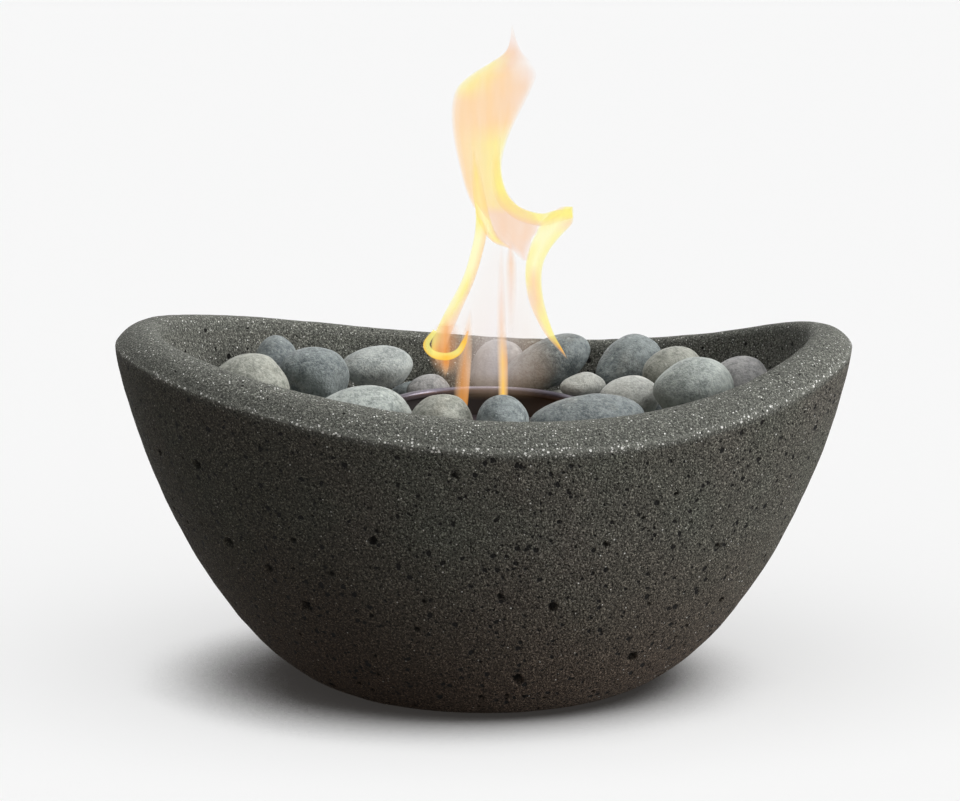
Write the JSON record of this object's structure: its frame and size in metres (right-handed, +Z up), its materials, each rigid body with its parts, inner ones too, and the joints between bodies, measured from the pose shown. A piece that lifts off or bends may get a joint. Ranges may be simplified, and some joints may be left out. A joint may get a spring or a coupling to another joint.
{
  "type": "tabletop fire pit",
  "caption": "Boat-shaped concrete tabletop fire pit with a waved rim: a lift-out can of gel fuel stands in its central well among river stones, under an open flame.",
  "frame": {"origin": "on the table, under the middle of the round base and of the can", "axes": "+X along the bowl to its right end as seen in the picture, +Y away from the viewer, +Z up"},
  "size_m": [0.3019, 0.2126, 0.2703],
  "materials": {
    "concrete": "matte",
    "felt": "matte",
    "tinplate": "satin",
    "gel": "gloss",
    "flame": "gloss",
    "blue_grey_stone": "satin",
    "dark_teal_stone": "satin",
    "green_grey_stone": "satin",
    "light_green_stone": "satin",
    "olive_stone": "satin",
    "light_grey_stone": "satin",
    "mauve_grey_stone": "satin"
  },
  "bodies": {
    "bowl": {"concrete_bowl": "concrete", "felt_pads": "felt", "lower_stone_01": "blue_grey_stone", "lower_stone_02": "light_grey_stone", "lower_stone_03": "dark_teal_stone", "lower_stone_04": "olive_stone", "lower_stone_05": "mauve_grey_stone", "lower_stone_06": "green_grey_stone", "lower_stone_07": "blue_grey_stone", "lower_stone_08": "light_grey_stone", "lower_stone_09": "dark_teal_stone", "lower_stone_10": "olive_stone", "lower_stone_11": "mauve_grey_stone", "lower_stone_12": "green_grey_stone", "lower_stone_13": "blue_grey_stone", "lower_stone_14": "light_grey_stone", "lower_stone_15": "dark_teal_stone", "lower_stone_16": "olive_stone", "lower_stone_17": "mauve_grey_stone", "lower_stone_18": "green_grey_stone", "lower_stone_19": "blue_grey_stone", "lower_stone_20": "light_grey_stone", "lower_stone_21": "dark_teal_stone", "upper_stone_01": "blue_grey_stone", "upper_stone_02": "olive_stone", "upper_stone_03": "dark_teal_stone", "upper_stone_04": "light_green_stone", "upper_stone_05": "mauve_grey_stone", "upper_stone_06": "light_grey_stone", "upper_stone_07": "mauve_grey_stone", "upper_stone_08": "blue_grey_stone", "upper_stone_09": "green_grey_stone", "upper_stone_10": "dark_teal_stone", "upper_stone_11": "light_grey_stone", "upper_stone_12": "dark_teal_stone", "upper_stone_13": "olive_stone", "upper_stone_14": "blue_grey_stone", "upper_stone_15": "light_green_stone", "upper_stone_16": "olive_stone", "upper_stone_17": "mauve_grey_stone", "upper_stone_18": "green_grey_stone", "upper_stone_19": "blue_grey_stone", "upper_stone_20": "green_grey_stone"},
    "fuel_can": {"can_tube": "tinplate", "can_end": "tinplate", "can_rim": "tinplate", "fuel_gel": "gel", "flame": "flame"}
  },
  "joints": [
    {"name": "fuel_can_lift", "type": "slide", "parent": "bowl", "child": "fuel_can", "axis": [0, 0, 1], "range_m": [0, 0.14]}
  ]
}
